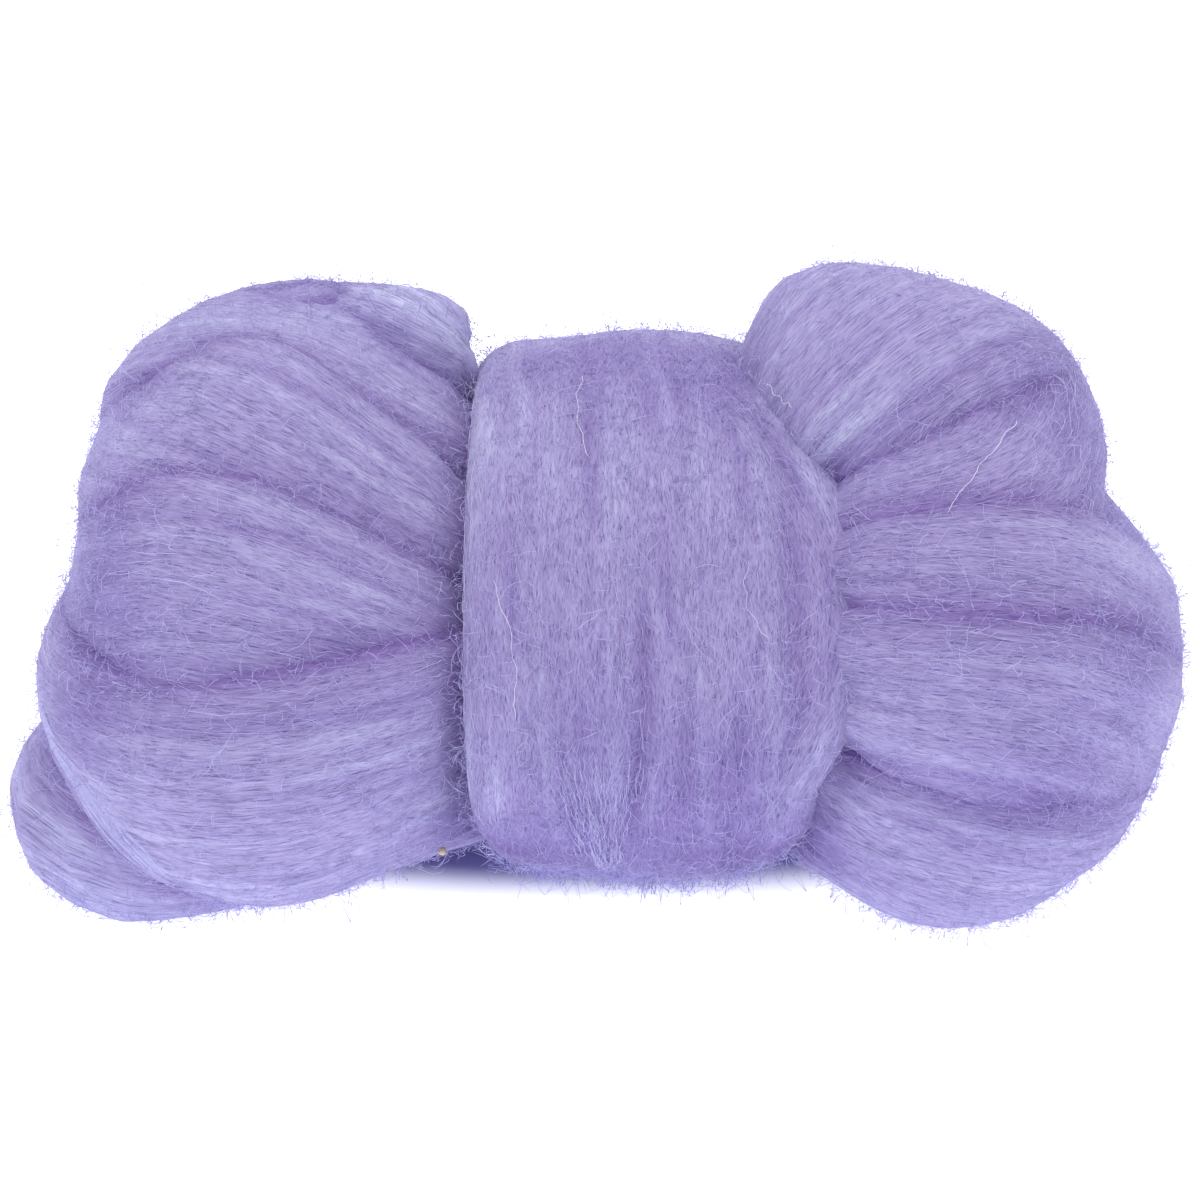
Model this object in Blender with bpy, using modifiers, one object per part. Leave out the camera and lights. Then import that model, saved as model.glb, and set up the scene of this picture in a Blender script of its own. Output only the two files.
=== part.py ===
"""Wool combed top, one solid: a long soft sliver folded to and fro into a bundle,
its last turns wound round the waist. Metres, +Z up, resting on z = 0.
X is the length of the bundle, Y runs from the front to the back.
"""
import math
from collections import namedtuple

import bmesh
import bpy
import numpy as np

MM = 0.001

# Driving sizes, millimetres
AXIS_Z = 61.0               # height of the bundle's long axis
WAIST = (58.0, 46.0)        # half depth and half height of the folds where they are tied
FAN = (82.0, 68.0)          # half depth and half height of the fans, to the outer face
BAND = (73.0, 58.0)         # half depth and half height over the wound turns
CENTRE = (-1.8, 0.65)        # middle of the finished outline, moved to x = 0 and y = 0
FLATTEN = 0.66              # depth of a fold at the waist against its depth at the belly
FOLD_POWER = 2.3            # squareness of a fold's section
TURN_POWER = 2.6            # squareness of a wound turn's section
VOXEL = 2.4                 # cell of the fused surface
FINE_STEPS = (110, 48)      # along and round a fold
TARGET_TRIANGLES = 9600
FLOOR_DROP = 30.0           # thickness of the cutter that makes the resting face

# A row for each fold. side is -1 for the left fan and 1 for the right. Angles go round
# the long axis: 0 front, 90 top, 180 back. A fold leaves the waist at `leaves`, where it
# has `neck` of its full width, swells at near_x and near_deg, turns at the tip, runs back
# past far_x and far_deg and goes in under the band again at `returns`.
Fold = namedtuple("Fold", "name side leaves neck near_x near_deg lift tip_x tip_y tip_z "
                          "far_x far_deg returns width depth")
FOLDS = [
    #    name  side leaves neck near_x deg lift  tip_x  y    z  far_x deg returns wide deep
    Fold("L1", -1, 100, 0.70,  66, 106, 0.96,   91,  32, 103,  72, 150, 172, 57, 36),
    Fold("L2", -1,  56, 0.62,  80,  74, 1.00,   97,   8,  98,  74, 140, 152, 56, 34),
    Fold("L3", -1,  28, 0.56,  82,  38, 1.00,  105, -10,  70,  76, 182, 190, 54, 38),
    Fold("L4", -1, -11, 0.98,  76, -14, 1.00,  106, -26,  44,  76, 218, 228, 68, 42),
    Fold("L5", -1, -44, 0.84,  82, -57, 1.00,  115, -31,  16,  86, 250, 258, 57, 43),
    Fold("L0", -1, 120, 0.66,  42, 118, 1.03,   60,  60,  95,  46, 156, 168, 32, 24),
    Fold("R1",  1,  78, 0.58,  63,  94, 1.18,   79,  35, 103,  64, 158, 176, 71, 42),
    Fold("R2",  1,  57, 0.60,  82,  62, 1.00,   97,  15, 102,  76, 140, 148, 42, 36),
    Fold("R3",  1,  46, 0.56,  84,  43, 1.00,  118,  -8,  60,  80, 174, 180, 44, 36),
    Fold("R4",  1,  24, 0.70,  84,  22, 1.00,  116, -17,  41,  78, 212, 220, 50, 40),
    Fold("R5",  1, -14, 0.70,  80, -28, 1.00,  102, -26,  22,  76, 246, 254, 62, 42),
]

# A row for each turn of the waist band: where its middle lies along X at the front,
# the top, the back and the bottom, how far it bows sideways between them, its width
# and depth, and how proud it sits.
Turn = namedtuple("Turn", "name x_front x_top x_back x_bottom sway width depth lift")
TURNS = [
    Turn("W1", -8, -8, -8, -6,  0, 42, 20, 1.0),
    Turn("W2", 22, 20, 20, 21,  0, 50, 20, 1.0),
    Turn("W3", 34, 26, 36, 26, 16, 32, 22, 0.985),
]

# The inner folds as one core for each fan: distance along X, half depth, half height.
Core = namedtuple("Core", "x depth height")
CORE = [
    Core(0, 50, 40), Core(30, 52, 42), Core(60, 64, 52), Core(88, 64, 52),
    Core(102, 56, 46), Core(111, 40, 34), Core(115, 20, 18), Core(116, 0.4, 0.4),
]
CORE_SAG = 1.1              # the lower half of the core is this much fuller


def on_ring(degrees, x, radii, inset):
    """A point at an angle round the long axis, inset from the given half sizes."""
    a = math.radians(degrees)
    return (x, -(radii[0] - inset) * math.cos(a), AXIS_Z + (radii[1] - inset) * math.sin(a))


def smooth_path(knots, count):
    """Evenly spaced rows on a centripetal curve through the knots."""
    pts = np.array(knots, float)
    gaps = np.sqrt(np.linalg.norm(np.diff(pts, axis=0)[:, :3], axis=1))
    t = np.concatenate([[0.0], np.cumsum(gaps)])
    pts = np.vstack([2 * pts[0] - pts[1], pts, 2 * pts[-1] - pts[-2]])
    t = np.concatenate([[t[0] - gaps[0]], t, [t[-1] + gaps[-1]]])
    runs = []
    for i in range(1, len(pts) - 2):
        s = np.linspace(t[i], t[i + 1], 40, endpoint=(i == len(pts) - 3))[:, None]
        near = [((t[k + 1] - s) * pts[k] + (s - t[k]) * pts[k + 1]) / (t[k + 1] - t[k])
                for k in (i - 1, i, i + 1)]
        mid = [((t[k + 1] - s) * near[k - i] + (s - t[k - 1]) * near[k - i + 1])
               / (t[k + 1] - t[k - 1]) for k in (i, i + 1)]
        runs.append(((t[i + 1] - s) * mid[0] + (s - t[i]) * mid[1]) / (t[i + 1] - t[i]))
    line = np.vstack(runs)
    steps = np.linalg.norm(np.diff(line[:, :3], axis=0), axis=1)
    run = np.concatenate([[0.0], np.cumsum(steps)])
    even = np.linspace(0.0, run[-1], count)
    return np.stack([np.interp(even, run, line[:, k]) for k in range(line.shape[1])], 1)


def section(count, power):
    """Rounded-square section, as two rows of cosines and sines."""
    a = np.linspace(0.0, 2.0 * np.pi, count, endpoint=False)
    c = np.sign(np.cos(a)) * np.abs(np.cos(a)) ** (2.0 / power)
    s = np.sign(np.sin(a)) * np.abs(np.sin(a)) ** (2.0 / power)
    return c, s


def fold_surface(f, steps=FINE_STEPS):
    """Rings of points along one fold, out from the waist, round its tip and back."""
    h = f.depth * 0.3
    swell = (FAN[0] * f.lift, FAN[1] * f.lift)
    line = smooth_path([
        (*on_ring(f.leaves, f.side * 4, WAIST, h + 4), f.neck, FLATTEN),
        (*on_ring(f.leaves, f.side * 30, WAIST, h), f.neck, FLATTEN),
        (*on_ring(f.near_deg, f.side * f.near_x, swell, f.depth / 2), 1.0, 1.0),
        (f.side * f.tip_x, f.tip_y, f.tip_z, 1.0, 1.0),
        (*on_ring(f.far_deg, f.side * f.far_x, FAN, f.depth / 2), 1.0, 1.0),
        (*on_ring(f.returns, f.side * 30, WAIST, h), FLATTEN, FLATTEN),
        (*on_ring(f.returns, f.side * 4, WAIST, h + 4), FLATTEN, FLATTEN),
    ], steps[0])
    mid = line[:, :3]
    along = np.gradient(mid, axis=0)
    along /= np.linalg.norm(along, axis=1)[:, None]
    inner = np.zeros_like(mid)
    inner[:, 0] = np.clip(f.side * mid[:, 0], None, 62.0) * f.side
    inner[:, 2] = AXIS_Z
    out = mid - inner
    out -= (out * along).sum(1)[:, None] * along
    out /= np.linalg.norm(out, axis=1)[:, None]
    across = np.cross(along, out)
    c, s = section(steps[1], FOLD_POWER)
    wide = (f.width / 2 * line[:, 3])[:, None] * c[None]
    deep = (f.depth / 2 * line[:, 4])[:, None] * s[None]
    return mid[:, None] + wide[..., None] * across[:, None] + deep[..., None] * out[:, None]


def turn_surface(t, steps=(120, 36)):
    """Rings of points round one wound turn, closed on itself."""
    a = np.linspace(0.0, 2.0 * np.pi, steps[0], endpoint=False)
    x = ((t.x_front + t.x_top + t.x_back + t.x_bottom) / 4
         + (t.x_front - t.x_back) / 2 * np.cos(a) + (t.x_top - t.x_bottom) / 2 * np.sin(a)
         + (t.x_front - t.x_top + t.x_back - t.x_bottom) / 4 * np.cos(2 * a)
         + t.sway * np.sin(2 * a))
    h = t.depth / 2
    mid = np.stack([x, -(BAND[0] * t.lift - h) * np.cos(a),
                    AXIS_Z + (BAND[1] * t.lift - h) * np.sin(a)], 1)
    out = np.stack([0 * a, -np.cos(a) / BAND[0], np.sin(a) / BAND[1]], 1)
    out /= np.linalg.norm(out, axis=1)[:, None]
    c, s = section(steps[1], TURN_POWER)
    across = np.array([1.0, 0.0, 0.0])
    wide = (t.width / 2 * c)[None, :, None] * across
    return mid[:, None] + wide + (h * s)[None, :, None] * out[:, None]


def core_surface(side, steps=(40, 64)):
    """Rings of points along the core of one fan."""
    x = CORE[-1].x * np.sin(np.linspace(0.0, np.pi / 2, steps[0]))
    xs = [c.x for c in CORE]
    deep = np.interp(x, xs, [c.depth for c in CORE])
    high = np.interp(x, xs, [c.height for c in CORE])
    a = np.linspace(0.0, 2.0 * np.pi, steps[1], endpoint=False)
    rise = np.sin(a) * np.where(np.sin(a) < 0, CORE_SAG, 1.0)
    return np.stack([np.repeat(side * x[:, None], steps[1], 1),
                     -deep[:, None] * np.cos(a)[None],
                     AXIS_Z + high[:, None] * rise[None]], 2)


def rings_to_mesh(bm, rings, closed):
    """Add one closed skin to bm: rings joined in order, ends capped unless closed."""
    n, m = rings.shape[:2]
    verts = [[bm.verts.new(p * MM) for p in ring] for ring in rings]
    for i in range(n if closed else n - 1):
        a, b = verts[i], verts[(i + 1) % n]
        for j in range(m):
            k = (j + 1) % m
            bm.faces.new((a[j], a[k], b[k], b[j]))
    if not closed:
        bm.faces.new(list(reversed(verts[0])))
        bm.faces.new(verts[-1])


def make_material():
    mat = bpy.data.materials.new("wool")
    mat.use_nodes = True
    shader = mat.node_tree.nodes["Principled BSDF"]
    shader.inputs["Base Color"].default_value = (0.342, 0.301, 0.584, 1.0)
    shader.inputs["Roughness"].default_value = 0.85
    mat.diffuse_color = (0.342, 0.301, 0.584, 1.0)
    return mat


def evaluated(obj):
    """A new mesh of obj with its modifiers worked out."""
    bpy.context.view_layer.update()
    graph = bpy.context.evaluated_depsgraph_get()
    return bpy.data.meshes.new_from_object(obj.evaluated_get(graph))


def remove_object(obj):
    mesh = obj.data
    bpy.data.objects.remove(obj, do_unlink=True)
    bpy.data.meshes.remove(mesh)


def fused_bundle(collection):
    """All folds, turns and cores fused into one skin of modest triangle count."""
    bm = bmesh.new()
    for f in FOLDS:
        rings_to_mesh(bm, fold_surface(f), False)
    for t in TURNS:
        rings_to_mesh(bm, turn_surface(t), True)
    for side in (-1, 1):
        rings_to_mesh(bm, core_surface(side), False)
    bmesh.ops.recalc_face_normals(bm, faces=bm.faces)
    mesh = bpy.data.meshes.new("bundle_raw")
    bm.to_mesh(mesh)
    bm.free()
    raw = bpy.data.objects.new("bundle_raw", mesh)
    collection.objects.link(raw)
    remesh = raw.modifiers.new("fuse", "REMESH")
    remesh.mode = "VOXEL"
    remesh.voxel_size = VOXEL * MM
    relax = raw.modifiers.new("relax", "SMOOTH")
    relax.factor = 0.5
    relax.iterations = 3
    fused = evaluated(raw)
    remove_object(raw)
    full = bpy.data.objects.new("bundle_full", fused)
    collection.objects.link(full)
    triangles = sum(len(p.vertices) - 2 for p in fused.polygons)
    thin = full.modifiers.new("thin", "DECIMATE")
    thin.ratio = TARGET_TRIANGLES / triangles
    thin.use_collapse_triangulate = True
    light = evaluated(full)
    remove_object(full)
    return light


def build():
    for obj in list(bpy.data.objects):
        bpy.data.objects.remove(obj, do_unlink=True)
    parts = bpy.data.collections.new("wool_combed_top")
    cutters = bpy.data.collections.new("cutters")
    for c in (parts, cutters):
        bpy.context.scene.collection.children.link(c)

    mesh = fused_bundle(parts)
    for v in mesh.vertices:
        v.co.x -= CENTRE[0] * MM
        v.co.y -= CENTRE[1] * MM
    mesh.materials.clear()
    mesh.materials.append(make_material())
    top = bpy.data.objects.new("combed_top", mesh)
    parts.objects.link(top)

    # The resting face: everything below the floor is cut away flat
    bm = bmesh.new()
    bmesh.ops.create_cube(bm, size=1.0)
    for v in bm.verts:
        v.co = (v.co.x * 0.4, v.co.y * 0.3, (v.co.z - 0.5) * FLOOR_DROP * MM)
    slab = bpy.data.meshes.new("floor_cutter")
    bm.to_mesh(slab)
    bm.free()
    cutter = bpy.data.objects.new("floor_cutter", slab)
    cutters.objects.link(cutter)
    cutter.hide_render = True
    cutter.display_type = "WIRE"
    cut = top.modifiers.new("resting_face", "BOOLEAN")
    cut.operation = "DIFFERENCE"
    cut.solver = "EXACT"
    cut.object = cutter

    for p in mesh.polygons:
        p.use_smooth = True


build()
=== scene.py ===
"""The looks of the wool combed top: every fold and wound turn as its own mesh with
the lie of its fibres, a coat of real fibres over them, and soft light on white.
"""
import math
from collections import namedtuple

import bpy
import numpy as np
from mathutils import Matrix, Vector


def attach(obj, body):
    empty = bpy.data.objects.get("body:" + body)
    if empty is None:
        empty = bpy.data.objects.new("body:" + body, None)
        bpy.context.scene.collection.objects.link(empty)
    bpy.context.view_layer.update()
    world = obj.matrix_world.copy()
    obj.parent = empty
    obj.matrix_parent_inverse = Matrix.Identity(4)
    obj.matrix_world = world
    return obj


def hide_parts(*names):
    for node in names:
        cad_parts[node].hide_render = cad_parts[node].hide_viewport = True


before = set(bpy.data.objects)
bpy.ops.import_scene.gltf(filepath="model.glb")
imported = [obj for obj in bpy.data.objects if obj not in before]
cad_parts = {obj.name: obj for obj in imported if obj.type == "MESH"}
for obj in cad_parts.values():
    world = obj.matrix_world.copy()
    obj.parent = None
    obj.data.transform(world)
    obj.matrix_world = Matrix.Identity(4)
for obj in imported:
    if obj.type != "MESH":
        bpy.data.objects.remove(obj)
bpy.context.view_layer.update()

MM = 0.001
RNG = np.random.default_rng(20)

# The bundle's driving sizes in millimetres. The CAD has them too.
AXIS_Z = 61.0               # height of the bundle's long axis
WAIST = (58.0, 46.0)        # half depth and half height of the folds where they are tied
FAN = (82.0, 68.0)          # half depth and half height of the fans, to the outer face
BAND = (73.0, 58.0)         # half depth and half height over the wound turns
CENTRE = (-1.8, 0.65)       # middle of the outline, moved to x = 0 and y = 0
FLATTEN = 0.66              # depth of a fold at the waist against its depth at the belly
FOLD_POWER = 2.3            # squareness of a fold's section
TURN_POWER = 2.6            # squareness of a wound turn's section
CORE_POWER = 2.0            # and of the core's
NECK_X = (4.0, 30.0)        # a fold runs inside the waist between these places
NECK_INSET = 0.3            # its middle lies this share of its depth inside the waist
NECK_DIP = 4.0              # and this much deeper at its hidden ends
OUT_FROM = 62.0             # its face looks away from the long axis, up to here

# Angles go round the long axis: 0 front, 90 top, 180 back. A fold leaves the waist at one
# angle, swells to its near place, turns at its tip, comes back past its far place and
# returns to the waist. The neck is its width at the waist, as a share.
Fold = namedtuple("Fold", "name side leaves neck near_x near_deg lift tip_x tip_y tip_z "
                          "far_x far_deg returns width depth")
FOLDS = [
    #    name  side leaves neck near_x deg lift  tip_x  y    z  far_x deg returns wide deep
    Fold("L1", -1, 100, 0.70,  66, 106, 0.96,   91,  32, 103,  72, 150, 172, 57, 36),
    Fold("L2", -1,  56, 0.62,  80,  74, 1.00,   97,   8,  98,  74, 140, 152, 56, 34),
    Fold("L3", -1,  28, 0.56,  82,  42, 1.00,  105, -10,  70,  76, 182, 190, 52, 36),
    Fold("L4", -1, -11, 0.98,  76,  -8, 1.00,  106, -26,  44,  76, 218, 228, 68, 42),
    Fold("L5", -1, -44, 0.84,  82, -57, 1.00,  115, -31,  16,  86, 250, 258, 57, 43),
    Fold("L0", -1, 120, 0.66,  42, 118, 1.03,   60,  60,  95,  46, 156, 168, 32, 24),
    Fold("R1",  1,  78, 0.58,  63,  94, 1.18,   79,  35, 103,  64, 158, 176, 71, 42),
    Fold("R2",  1,  57, 0.60,  82,  62, 1.00,   97,  15, 102,  76, 140, 148, 42, 36),
    Fold("R3",  1,  46, 0.56,  84,  43, 1.00,  118,  -8,  60,  80, 174, 180, 44, 36),
    Fold("R4",  1,  24, 0.70,  84,  22, 1.00,  116, -17,  41,  78, 212, 220, 50, 40),
    Fold("R5",  1, -14, 0.70,  80, -28, 1.00,  102, -26,  22,  76, 246, 254, 62, 42),
]

# A turn is narrower at its foot, by a share of its width, where the hollows open.
Turn = namedtuple("Turn", "name x_front x_top x_back x_bottom sway width depth lift foot")
FOOT_DEG = -50.0            # the lowest part of the band that shows from the front
FOOT_SPREAD = 20.0          # the narrowing fades out over this many degrees
TURNS = [
    Turn("W1", -8, -8, -8, -6,  0, 42, 20, 1.0, 0.26),
    Turn("W2", 22, 20, 20, 21,  0, 50, 20, 1.0, 0.30),
    Turn("W3", 34, 26, 36, 26, 16, 32, 22, 0.985, 0.0),
]

Core = namedtuple("Core", "x depth height")
CORE = [
    Core(0, 50, 40), Core(30, 52, 42), Core(60, 64, 52), Core(88, 64, 52),
    Core(102, 56, 46), Core(111, 40, 34), Core(115, 20, 18), Core(116, 0.4, 0.4),
]
CORE_SAG = 1.1              # the lower half of the core is this much fuller
CORE_ROWS = 30

# How finely the skins are drawn, in millimetres
ROW_STEP = 4.0              # along the fibres
FINE_STEP = 1.0             # across them, on the outer side
COARSE_STEP = 4.0           # across them, on the hidden side
OUTER_SIDE = (-28.0, 208.0)     # angles round a section between which it may show
KNOT_STEPS = 40             # fine steps of a path between two of its knots
BATCH = 8000                # points that are measured against a strand at a time

# How the skins meet, in millimetres
CREASE_FILL = 3.2           # softness of the hollow where two folds meet
CREASE_MOST = 2.8           # most that a crease is filled
SKIN_DROP = 0.6             # the skins lie this far under the coat of fibres
TUCK = 2.4                  # the folds dip this much where the band grips them
TUCK_REACH = 8.0            # and rise again over this distance from it
BURIED = 0.8                # what lies deeper than this in another strand can't show
PINCH = 5.0                 # rows closer than this over two steps are eased
PINCH_RATE = 3.0
PINCH_PASSES = 12
FLOOR_GAP = 0.15            # the lowest wool lies this far above the floor
FLOOR_TOUCH = 0.05          # and what is this much higher is still pressed on it
OUT_OF_REACH = 99.0

# Painted shade, a deeper colour in the creases: how strong, and over how many millimetres it
# fades
SHADE_REACH = 4.0            # between folds
BAND_SHADE_REACH = 3.5       # along the band, which lies closer on the left
BAND_SHADE = {"L": 1.0, "R": 0.4, "L0": 0.3}
TURN_SHADE = 0.25            # on the band, where it meets the folds
TURN_SHADE_REACH = 3.0
GROOVE_SHADE = 0.35          # in its grooves, for each millimetre of depth

# Ridges in the skins, millimetres: wavelength along and across the fibres, and height
Ridge = namedtuple("Ridge", "along across height")
RIDGES = [Ridge(75, 26, 1.0), Ridge(55, 9, 0.50), Ridge(36, 4.2, 0.26)]
RING_SHARE = 0.6            # a turn's ridges are the sum of two such shares of noise
LIE_WANDER = 0.10           # the lie of the fibres wanders by this angle in radians
LIE_RUN = 70.0              # over this length

# Shallow grooves pressed round the band: place along X, the angles they run between,
# depth and half width
Groove = namedtuple("Groove", "x from_deg to_deg depth half_width")
GROOVES = [
    Groove(-10.0,   0, 44, 0.9, 2.2),
    Groove(  8.4, -16, 46, 1.5, 2.4),
    Groove( 17.8,  -6, 42, 0.8, 2.0),
    Groove( 41.0,  10, 78, 1.4, 2.8),
]
GROOVE_FADE = 12.0          # degrees over which a groove starts and ends
GROOVE_SWING = 1.2          # how far it swings along X
GROOVE_WAVES = 3.0          # and how often, round the band

# Painted light and shade: places painted deeper (below nought) or paler, in bundle coordinates
Patch = namedtuple("Patch", "name x y z reach tone")
LIGHT_AND_SHADE_PATCHES = [
    Patch("left_valley_outer",  -104, -50,  85, 16, -0.7),
    Patch("left_valley_middle",  -80, -60,  88, 15, -0.4),
    Patch("left_valley_inner",   -54, -61,  90, 13, -0.4),
    Patch("left_cheek",         -108, -40, 101, 18, -0.7),
    Patch("left_shoulder",      -106,   0, 112, 15, -0.7),
    Patch("left_crest_outer",    -89,  26, 124, 16,  0.7),
    Patch("left_crest_inner",    -72,  32, 123, 17,  0.9),
    Patch("left_ear",            -42,  34, 121, 19,  1.0),
    Patch("left_ear_edge",       -35,  22, 115, 13,  1.0),
    Patch("left_ear_groove",     -50,  35, 114,  6, -1.4),
    Patch("left_ear_groove_low", -43,  27, 111,  6, -1.4),
    Patch("left_side_upper",    -113, -40,  90, 14, -0.7),
    Patch("left_side_lower",    -115, -58,  68, 15, -0.9),
    Patch("left_foot",          -124, -56,  14, 24,  0.8),
    Patch("band_top_left",       -21,  13, 116, 16, -0.8),
    Patch("band_top_middle",       1,  17, 118, 16, -0.9),
    Patch("band_top_right",       24,   9, 120, 16, -0.9),
    Patch("band_brow",             2, -12, 118, 19, -0.5),
    Patch("band_brow_right",      26, -10, 120, 15, -0.4),
    Patch("band_side_right",      31, -73,  70, 14, -0.6),
    Patch("band_belly",            2, -72,  74, 20, -0.5),
    Patch("band_foot_left",      -12, -70,  42, 17, -0.7),
    Patch("band_under_left",     -10, -62,  28, 14, -1.2),
    Patch("band_under_right",     22, -63,  28, 17, -1.2),
    Patch("band_corner_left",    -25, -60,  35, 11, -2.0),
    Patch("band_corner_right",    42, -60,  36, 14, -2.0),
    Patch("band_foot_middle",      8, -72,  44, 17, -0.7),
    Patch("band_foot_right",      28, -72,  46, 17, -0.8),
    Patch("right_crest",          52,  42, 134, 18,  0.5),
    Patch("right_shoulder",      104, -10, 120, 21, -0.9),
    Patch("right_neck",           53, -28, 118, 14,  0.7),
    Patch("right_shoulder_low",  111, -16, 110, 16, -0.5),
    Patch("right_shoulder_back", 113,  12, 114, 16, -0.5),
    Patch("right_cheek",         119, -52,  80, 20, -0.8),
    Patch("right_belly",          92, -72,  62, 22, -0.7),
    Patch("right_foot",          112, -60,  30, 18, -0.5),
]

# The coat of fibres, in millimetres. A tint is a colour of its own.
Coat = namedtuple("Coat", "name count length radius crimp rise tint")
COATS = [
    Coat("fibres_lilac",  5200, 9.0, 0.045, 0.16, 0.30, (0.380, 0.335, 0.580)),
    Coat("fibres_violet", 3600, 8.0, 0.045, 0.14, 0.12, (0.250, 0.200, 0.430)),
    Coat("fibres_pale",   5200, 9.0, 0.042, 0.20, 0.50, (0.540, 0.510, 0.740)),
]
COAT_STEPS = 5
COAT_LENGTHS = (0.5, 1.6)   # shortest and longest, as shares of the length
COAT_SLANT = 0.14           # spread of slant and bow for each millimetre of length
COAT_BOW = 0.07
COAT_WAVER = 0.05           # spread of their height from step to step

# Loose hairs that leave the surface: how far they run and how high they rise, and how
# much the body and the foot of the band get of them
Loose = namedtuple("Loose", "name count steps radius length height kink body foot tint")
LOOSE = [
    Loose("fuzz",    4400, 6, 0.045, 4.5, 1.6, 0.30, 1.0,  2.0, (0.500, 0.475, 0.740)),
    Loose("fringe",  2100, 6, 0.045, 5.0, 2.2, 0.55, 0.0,  1.0, (0.340, 0.310, 0.610)),
    Loose("down_1", 26000, 3, 0.085, 2.8, 1.9, 0.20, 1.0,  1.0, (0.380, 0.345, 0.620)),
    Loose("down_2", 26000, 3, 0.085, 2.2, 1.0, 0.20, 1.0,  0.0, (0.350, 0.310, 0.570)),
]
LOOSE_SEED = 7
LOOSE_TURN = 0.95           # spread of their heading round the fibres' own, in radians
LOOSE_SWEEP = 0.3           # spread of their bend, as a share of the length
LENGTH_SHAPE = 3.0          # how even the lengths are
HEIGHT_SHAPE = 1.7          # and the heights
LENGTH_LEAST = 1.0
HEIGHT_LEAST = 0.3
ROOT_DEPTH = 0.15           # they start this far under the surface

# The foot of the band, where more hairs stand out, in millimetres above the floor
FOOT_TOP = 36.0
FOOT_FADE = 14.0
# How the fibres bunch: over what length, how often round a strand, and how strongly
BUNCH_RUN = 45.0
BUNCH_TURNS = 5
BUNCH_SEED = 91
COAT_BUNCH = 1.3
LOOSE_BUNCH = 0.5

# Locks that lie across the others and single coarse hairs. A place on a strand is its
# share of the way along it and the angle round its section, 90 outermost.
Lock = namedtuple("Lock", "name strand from_share from_deg to_share to_deg bow "
                          "wide_from wide_to count length lift")
LOCKS = [
    Lock("lock_corner", "L4", 0.420,  56, 0.312, 120, -4, 12.0, 14.0, 340, 14, 0.9),
    Lock("lock_waist",  "W1", 0.275,  78, 0.168,  71,  0, 22.0, 5.0, 300, 8, 1.3),
]
LOCK_TINT = (0.570, 0.550, 0.800)
LOCK_RADIUS = 0.045
LOCK_LENGTHS = (0.6, 1.2)
LOCK_PATH_STEPS = 60
LOCK_SPREAD = 0.32          # spread across the lock, as a share of its width
LOCK_CRIMP = 0.30
LOCK_RISE = 0.5             # height of the lock where it starts

Kemp = namedtuple("Kemp", "strand from_share from_deg to_share to_deg bow radius")
KEMPS = [
    Kemp("W1", 0.510,  82, 0.441,  79,  2.0, 0.085),
    Kemp("W1", 0.373, 128, 0.294, 112, -2.5, 0.065),
    Kemp("W2", 0.382,  70, 0.340,  62,  2.5, 0.055),
    Kemp("R2", 0.358, 113, 0.290,  84,  3.0, 0.085),
    Kemp("R1", 0.245,  97, 0.245,  80,  1.0, 0.065),
    Kemp("L2", 0.300, 146, 0.245, 150, -1.5, 0.060),
]
KEMP_TINT = (0.78, 0.76, 0.84)
KEMP_STEPS = 26
KEMP_WAVE = 0.35            # sideways wave, and how many
KEMP_WAVES = 3.2
KEMP_CRIMP = 0.10
KEMP_RISE = 0.55            # height over the skin, and how much it changes
KEMP_HOP = 0.3
KEMP_HOPS = 9

SEED_PLACE = ("L4", 0.121, 138)     # a fleck of seed husk caught in the wool
SEED_SIZE = 1.1
SEED_SHAPE = (0.9, 0.8, 1.0)
SEED_DENT = 0.35            # how crumpled, and how finely
SEED_GRAIN = 1.6
SEED_RISE = 0.4
SEED_TINT = (0.50, 0.40, 0.27)

# Numbers that scramble a whole-number point into a random one
HASH_X, HASH_Y, HASH_Z, HASH_SEED = 374761393, 668265263, 1442695041, 974634777
HASH_MIXERS = ((13, 1274126177), (16, 2246822519))
HASH_LAST = 15
HASH_MASK = 0xFFFFFFFF
HASH_HALF = 2147483648.0


# Noise

def lattice(ix, iy, iz, seed):
    """A fixed random number from -1 to 1 at each whole-number point."""
    h = (ix.astype(np.int64) * HASH_X + iy.astype(np.int64) * HASH_Y
         + iz.astype(np.int64) * HASH_Z + seed * HASH_SEED) & HASH_MASK
    for shift, factor in HASH_MIXERS:
        h = ((h ^ (h >> shift)) * factor) & HASH_MASK
    return (h ^ (h >> HASH_LAST)) / HASH_HALF - 1.0


def noise(x, y, z, seed):
    """Smooth noise from -1 to 1."""
    ix, iy, iz = np.floor(x), np.floor(y), np.floor(z)
    fx, fy, fz = x - ix, y - iy, z - iz
    fx, fy, fz = (f * f * (3.0 - 2.0 * f) for f in (fx, fy, fz))
    total = 0.0
    for dx in (0, 1):
        for dy in (0, 1):
            for dz in (0, 1):
                share = ((fx if dx else 1 - fx) * (fy if dy else 1 - fy)
                         * (fz if dz else 1 - fz))
                total = total + share * lattice(ix + dx, iy + dy, iz + dz, seed)
    return total


# The bundle's lines

def on_ring(degrees, x, radii, inset):
    """A point at an angle round the long axis, inset from the given half sizes."""
    a = math.radians(degrees)
    return (x, -(radii[0] - inset) * math.cos(a), AXIS_Z + (radii[1] - inset) * math.sin(a))


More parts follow.
